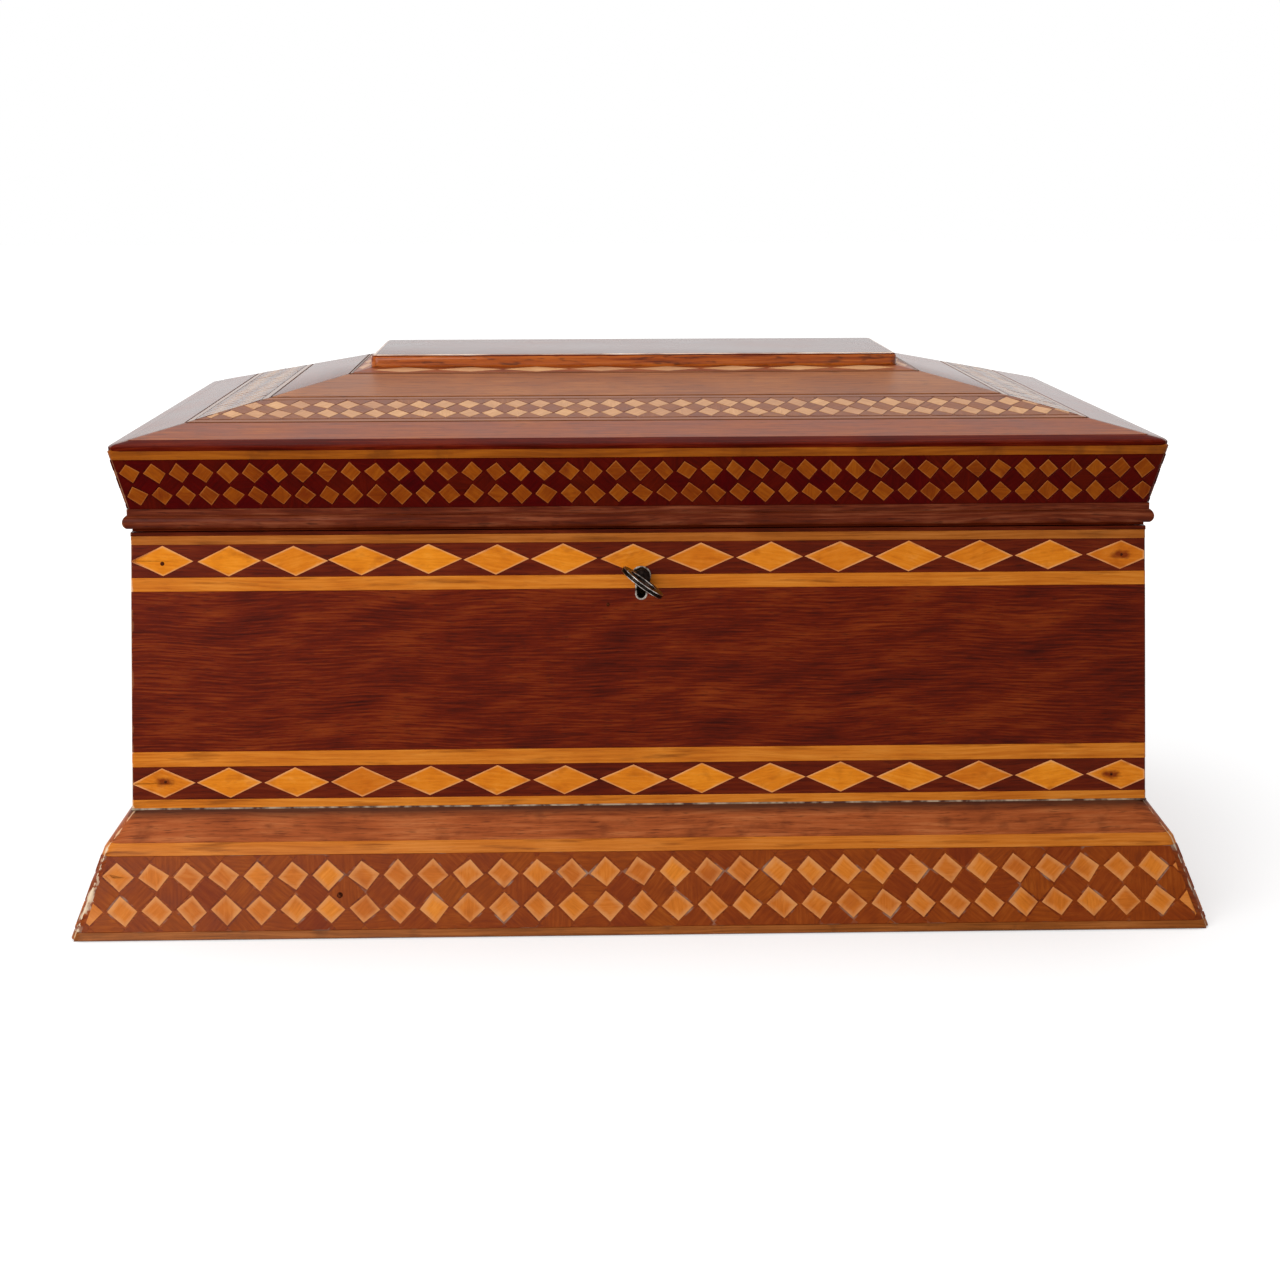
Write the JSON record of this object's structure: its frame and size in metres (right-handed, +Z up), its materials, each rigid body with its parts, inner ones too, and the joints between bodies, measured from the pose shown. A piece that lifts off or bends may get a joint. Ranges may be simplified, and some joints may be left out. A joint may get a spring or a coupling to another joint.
{
  "type": "marquetry box",
  "caption": "Sarcophagus-shaped wooden storage box with a splayed plinth, hinged hipped lid, inlaid lozenge and checker bands, and a key that works its lock.",
  "frame": {"origin": "middle of the base, on the surface that the box stands on", "axes": "+X to the viewer's right along the front, +Y from the front to the hinged back, +Z up"},
  "size_m": [0.3396, 0.2376, 0.1656],
  "materials": {
    "carcass": "plain mahogany boards, lightly waxed",
    "mahogany": "french-polished mahogany, glossy",
    "dark_inlay": "dark ground wood, french-polished",
    "light_inlay": "satinwood tiles, french-polished",
    "stringing": "boxwood strings, french-polished",
    "brass": "aged brass",
    "steel": "worn steel",
    "key_steel": "darkened steel"
  },
  "bodies": {
    "case": {"bottom_board": "carcass", "wall_front": "carcass", "wall_back": "carcass", "wall_left": "carcass", "wall_right": "carcass", "plinth_front": "carcass", "plinth_back": "carcass", "plinth_left": "carcass", "plinth_right": "carcass", "field_veneers": "mahogany", "plinth_bevels": "mahogany", "wall_lipping": "mahogany", "upper_band_ground": "dark_inlay", "lower_band_ground": "dark_inlay", "plinth_checker_ground": "dark_inlay", "upper_lozenges": "light_inlay", "lower_lozenges": "light_inlay", "plinth_checker_squares": "light_inlay", "upper_strings": "stringing", "lower_strings": "stringing", "plinth_strings": "stringing", "hinge_lower_leaves": "brass", "lock_plate": "brass", "escutcheon": "steel", "hinge_pins": "steel", "hinge_screws_case": "steel", "lock_cap": "steel", "drill_pin": "steel", "bolt_stud": "steel", "lock_spring": "steel", "lock_screws": "steel"},
    "lid": {"lid_rail_front": "carcass", "lid_rail_back": "carcass", "lid_rail_left": "carcass", "lid_rail_right": "carcass", "lid_bead": "mahogany", "frieze_checker_ground": "dark_inlay", "frieze_checker_squares": "light_inlay", "frieze_string": "stringing", "lid_arris": "mahogany", "roof_board_front": "carcass", "roof_board_back": "carcass", "roof_board_left": "carcass", "roof_board_right": "carcass", "roof_margins": "mahogany", "roof_strings": "stringing", "roof_checker_ground": "dark_inlay", "roof_checker_squares": "light_inlay", "roof_veneers": "mahogany", "panel_strings": "stringing", "panel_band_ground": "dark_inlay", "panel_band_lozenges": "light_inlay", "top_panel": "mahogany", "hinge_upper_leaves": "brass", "hinge_screws_lid": "steel", "link_plate": "brass", "link_screws": "steel"},
    "key": {"key": "key_steel"},
    "bolt": {"lock_bolt": "steel"}
  },
  "joints": [
    {"name": "lid_hinge", "type": "hinge", "parent": "case", "child": "lid", "pos_m": [0, 0.1012, 0.11935], "axis": [-1, 0, 0], "range_deg": [0, 100]},
    {"name": "key_turn", "type": "hinge", "parent": "case", "child": "key", "pos_m": [0, -0.1, 0.1054], "axis": [0, 1, 0], "range_deg": [0, 107.4]},
    {"name": "bolt_slide", "type": "slide", "parent": "case", "child": "bolt", "axis": [1, 0, 0], "range_m": [0, 0.00903]}
  ],
  "couplings": [
    {"joint": "key_turn", "follows": "bolt_slide", "rad_per_m": 207.67}
  ]
}
